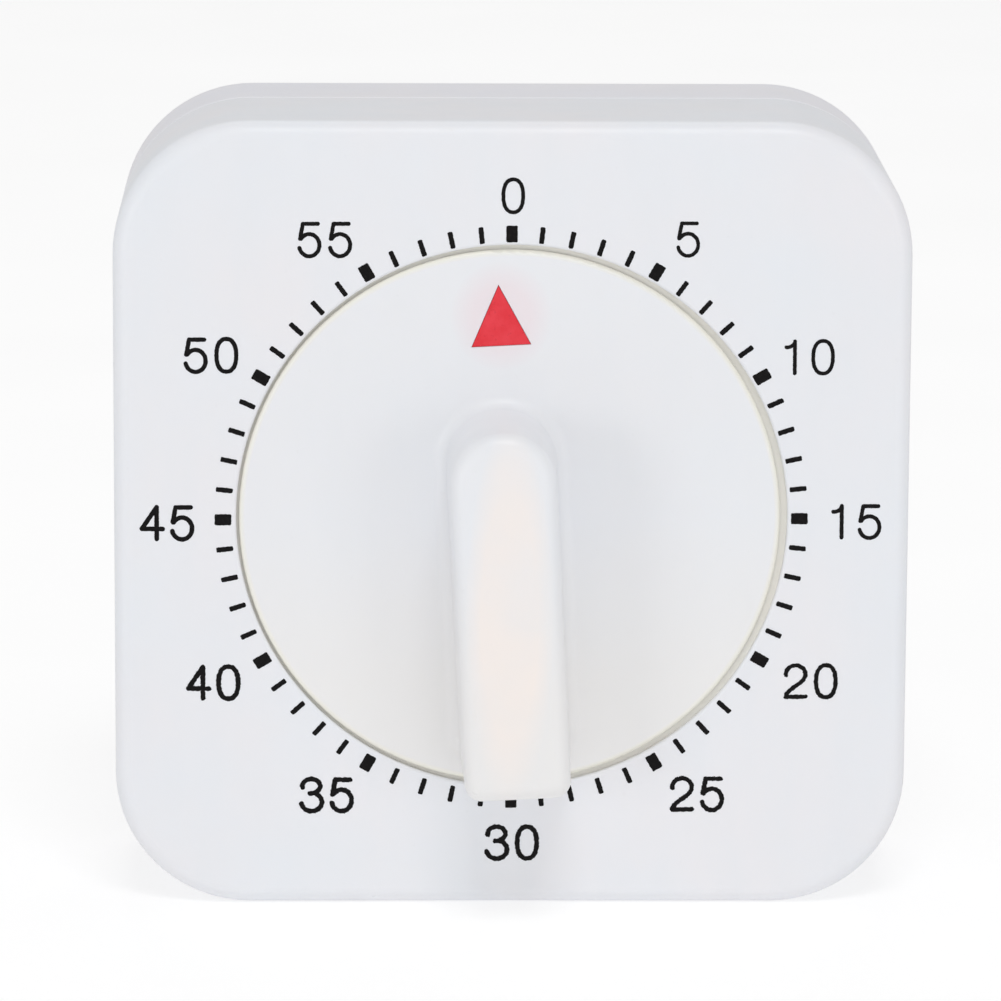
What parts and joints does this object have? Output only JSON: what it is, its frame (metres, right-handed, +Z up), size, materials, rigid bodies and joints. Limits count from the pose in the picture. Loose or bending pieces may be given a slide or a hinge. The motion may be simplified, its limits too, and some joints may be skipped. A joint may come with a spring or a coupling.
{
  "type": "mechanical timer",
  "caption": "Square wind-up countdown timer with a round knob, a one-sided grip, a pointer and a full-circle minute dial.",
  "frame": {"origin": "centre of the flat underside that the timer stands on", "axes": "+Z up, the dial faces -Y, +X to the right for someone who reads the dial"},
  "size_m": [0.068, 0.039, 0.068],
  "materials": {
    "case_plastic": "satin moulded white plastic",
    "cover_plastic": "satin moulded white plastic",
    "knob_plastic": "satin moulded white plastic",
    "pointer_red": "smooth red plastic",
    "zinc_screw": "zinc plated",
    "plate_brass": "brushed sheet brass",
    "wheel_brass": "stamped brass",
    "arbor_steel": "turned steel",
    "lever_steel": "stamped steel",
    "spring_steel": "blued spring steel",
    "bell_steel": "nickel plated"
  },
  "bodies": {
    "case": {"front_case": "case_plastic", "rear_cover": "cover_plastic", "case_screws": "zinc_screw", "front_plate": "plate_brass", "rear_plate": "plate_brass", "plate_pillars": "arbor_steel", "pillar_nuts": "zinc_screw", "movement_screws": "zinc_screw", "mainspring": "spring_steel", "spring_stud": "arbor_steel", "bell": "bell_steel", "bell_post": "arbor_steel", "bell_screw": "zinc_screw", "hammer_spring": "spring_steel", "alarm_lever_spring": "spring_steel"},
    "knob": {"knob": "knob_plastic", "pointer_triangle": "pointer_red", "main_arbor": "arbor_steel", "alarm_cam": "lever_steel", "great_wheel": "wheel_brass", "clutch_collar": "wheel_brass", "clutch_spring": "spring_steel"},
    "second_wheel_set": {"second_arbor": "arbor_steel", "second_wheel": "wheel_brass", "star_wheel": "lever_steel"},
    "third_wheel_set": {"third_arbor": "arbor_steel", "third_wheel": "wheel_brass"},
    "escape_wheel_set": {"escape_arbor": "arbor_steel", "escape_wheel": "wheel_brass"},
    "pallet_set": {"pallet_arbor": "arbor_steel", "pallet_lever": "lever_steel", "pallet_pins": "arbor_steel", "balance_wheel": "wheel_brass"},
    "hammer_set": {"hammer_arbor": "arbor_steel", "hammer_tail": "lever_steel", "hammer_catch": "lever_steel", "hammer_arm": "lever_steel", "hammer_head": "arbor_steel"},
    "alarm_lever_set": {"alarm_lever_arbor": "arbor_steel", "alarm_lever": "lever_steel"}
  },
  "joints": [
    {"name": "knob_turn", "type": "hinge", "parent": "case", "child": "knob", "pos_m": [-0.0002, 0, 0.034], "axis": [0, 1, 0], "range_deg": [0, 352], "deforming": ["mainspring"]},
    {"name": "second_wheel_turn", "type": "hinge", "parent": "case", "child": "second_wheel_set", "pos_m": [-0.01617, 0, 0.03242], "axis": [0, 1, 0], "continuous": true},
    {"name": "third_wheel_turn", "type": "hinge", "parent": "case", "child": "third_wheel_set", "pos_m": [-0.01541, 0, 0.01879], "axis": [0, 1, 0], "continuous": true},
    {"name": "escape_wheel_turn", "type": "hinge", "parent": "case", "child": "escape_wheel_set", "pos_m": [-0.0028, 0, 0.0163], "axis": [0, 1, 0], "continuous": true},
    {"name": "pallet_swing", "type": "hinge", "parent": "case", "child": "pallet_set", "pos_m": [0.00532, 0, 0.01348], "axis": [0, 1, 0], "range_deg": [-4, 4]},
    {"name": "hammer_swing", "type": "hinge", "parent": "case", "child": "hammer_set", "pos_m": [-0.0172, 0, 0.049], "axis": [0, 1, 0], "range_deg": [-10, 1.2], "stiffness_Nm_per_rad": 0.005, "deforming": ["hammer_spring"]},
    {"name": "alarm_lever_drop", "type": "hinge", "parent": "case", "child": "alarm_lever_set", "pos_m": [0.0113, 0, 0.046], "axis": [0, 1, 0], "range_deg": [-10, 0], "stiffness_Nm_per_rad": 0.003, "deforming": ["alarm_lever_spring"]}
  ],
  "couplings": [
    {"joint": "second_wheel_turn", "follows": "knob_turn", "ratio": -9},
    {"joint": "third_wheel_turn", "follows": "knob_turn", "ratio": 67.5},
    {"joint": "escape_wheel_turn", "follows": "knob_turn", "ratio": -472.5}
  ]
}
